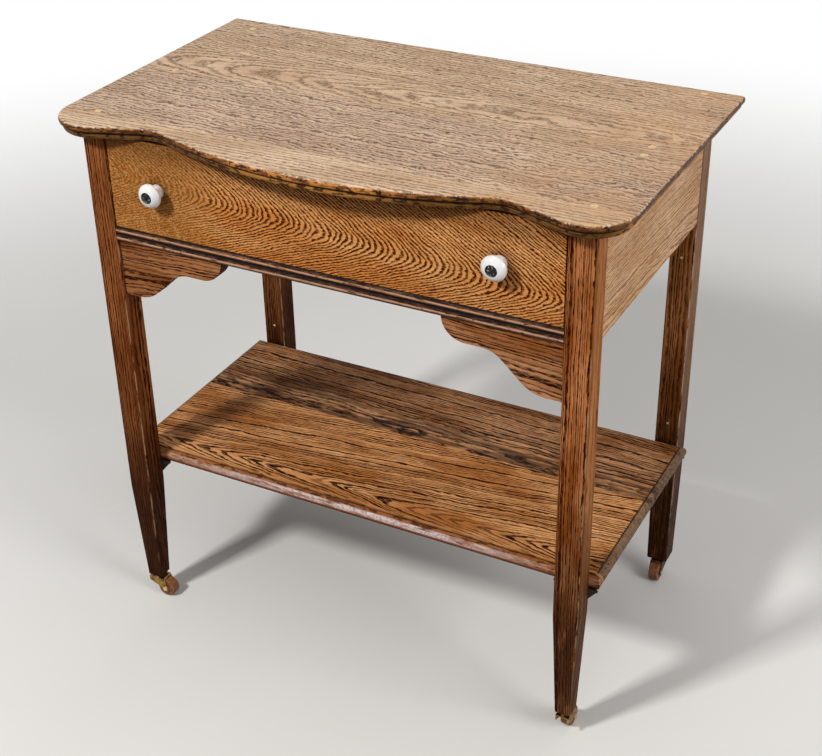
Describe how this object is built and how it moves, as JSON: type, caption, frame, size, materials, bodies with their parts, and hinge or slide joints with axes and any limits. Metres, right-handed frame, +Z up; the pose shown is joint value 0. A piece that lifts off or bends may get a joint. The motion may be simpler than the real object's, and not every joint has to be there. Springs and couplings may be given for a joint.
{
  "type": "serving table",
  "caption": "Oak serving table with a serpentine moulded top, a drawer with porcelain knobs, scroll brackets, a lower shelf and tapered legs on brass casters.",
  "frame": {"origin": "on the floor under the middle of the top's bounding box", "axes": "+X to the right of someone facing the drawer, -Y towards the front, +Z up"},
  "size_m": [0.764, 0.457, 0.762],
  "materials": {
    "oak_top": "satin varnish, worn",
    "oak_leg": "satin varnish",
    "oak_apron": "satin varnish",
    "oak_rail": "satin varnish, worn on the beads",
    "oak_drawer": "satin varnish",
    "oak_shelf": "satin varnish",
    "inner_wood": "bare, aged",
    "pale_wood": "satin varnish",
    "wheel_wood": "worn",
    "porcelain": "gloss glaze",
    "black_bolt": "gloss black",
    "black_iron": "dull black",
    "steel": "dull",
    "brass": "tarnished"
  },
  "bodies": {
    "frame": {"apron_back": "oak_apron", "apron_left": "oak_apron", "apron_right": "oak_apron", "brace_screws": "steel", "caster_sockets": "brass", "drawer_stops": "inner_wood", "glue_blocks": "inner_wood", "guide_left": "inner_wood", "guide_right": "inner_wood", "kicker_left": "inner_wood", "kicker_right": "inner_wood", "leg_back_left": "oak_leg", "leg_back_right": "oak_leg", "leg_front_left": "oak_leg", "leg_front_right": "oak_leg", "leg_pegs": "pale_wood", "rail_front": "oak_rail", "rail_top": "oak_rail", "runner_left": "inner_wood", "runner_right": "inner_wood", "scroll_left": "oak_rail", "scroll_right": "oak_rail", "shelf_board_back": "oak_shelf", "shelf_board_front": "oak_shelf", "shelf_braces": "black_iron", "top_board_back": "oak_top", "top_board_front": "oak_top", "top_board_inner_back": "oak_top", "top_board_inner_front": "oak_top", "top_plugs": "pale_wood", "top_screws": "steel"},
    "drawer": {"drawer_front": "oak_drawer", "drawer_side_left": "inner_wood", "drawer_side_right": "inner_wood", "drawer_back": "inner_wood", "drawer_bottom": "inner_wood", "knob_left": "porcelain", "knob_right": "porcelain", "knob_bolts": "black_bolt", "knob_nuts": "steel"},
    "caster_front_left": {"caster_horn_front_left": "brass", "caster_stem_front_left": "brass", "caster_axle_front_left": "brass"},
    "wheel_front_left": {"caster_wheel_front_left": "wheel_wood"},
    "caster_front_right": {"caster_horn_front_right": "brass", "caster_stem_front_right": "brass", "caster_axle_front_right": "brass"},
    "wheel_front_right": {"caster_wheel_front_right": "wheel_wood"},
    "caster_back_left": {"caster_horn_back_left": "brass", "caster_stem_back_left": "brass", "caster_axle_back_left": "brass"},
    "wheel_back_left": {"caster_wheel_back_left": "wheel_wood"},
    "caster_back_right": {"caster_horn_back_right": "brass", "caster_stem_back_right": "brass", "caster_axle_back_right": "brass"},
    "wheel_back_right": {"caster_wheel_back_right": "wheel_wood"}
  },
  "joints": [
    {"name": "drawer_slide", "type": "slide", "parent": "frame", "child": "drawer", "axis": [0, -1, 0], "range_m": [0, 0.28]},
    {"name": "caster_swivel_front_left", "type": "hinge", "parent": "frame", "child": "caster_front_left", "pos_m": [-0.328, -0.1615, 0.0325], "axis": [0, 0, 1], "continuous": true},
    {"name": "wheel_spin_front_left", "type": "hinge", "parent": "caster_front_left", "child": "wheel_front_left", "pos_m": [-0.313, -0.1615, 0.014], "axis": [0, 1, 0], "continuous": true},
    {"name": "caster_swivel_front_right", "type": "hinge", "parent": "frame", "child": "caster_front_right", "pos_m": [0.328, -0.1615, 0.0325], "axis": [0, 0, 1], "continuous": true},
    {"name": "wheel_spin_front_right", "type": "hinge", "parent": "caster_front_right", "child": "wheel_front_right", "pos_m": [0.328, -0.1465, 0.014], "axis": [-1, 0, 0], "continuous": true},
    {"name": "caster_swivel_back_left", "type": "hinge", "parent": "frame", "child": "caster_back_left", "pos_m": [-0.328, 0.2095, 0.0325], "axis": [0, 0, 1], "continuous": true},
    {"name": "wheel_spin_back_left", "type": "hinge", "parent": "caster_back_left", "child": "wheel_back_left", "pos_m": [-0.31501, 0.202, 0.014], "axis": [0.5, 0.866, 0], "continuous": true},
    {"name": "caster_swivel_back_right", "type": "hinge", "parent": "frame", "child": "caster_back_right", "pos_m": [0.328, 0.2095, 0.0325], "axis": [0, 0, 1], "continuous": true},
    {"name": "wheel_spin_back_right", "type": "hinge", "parent": "caster_back_right", "child": "wheel_back_right", "pos_m": [0.328, 0.1945, 0.014], "axis": [1, 0, 0], "continuous": true}
  ]
}
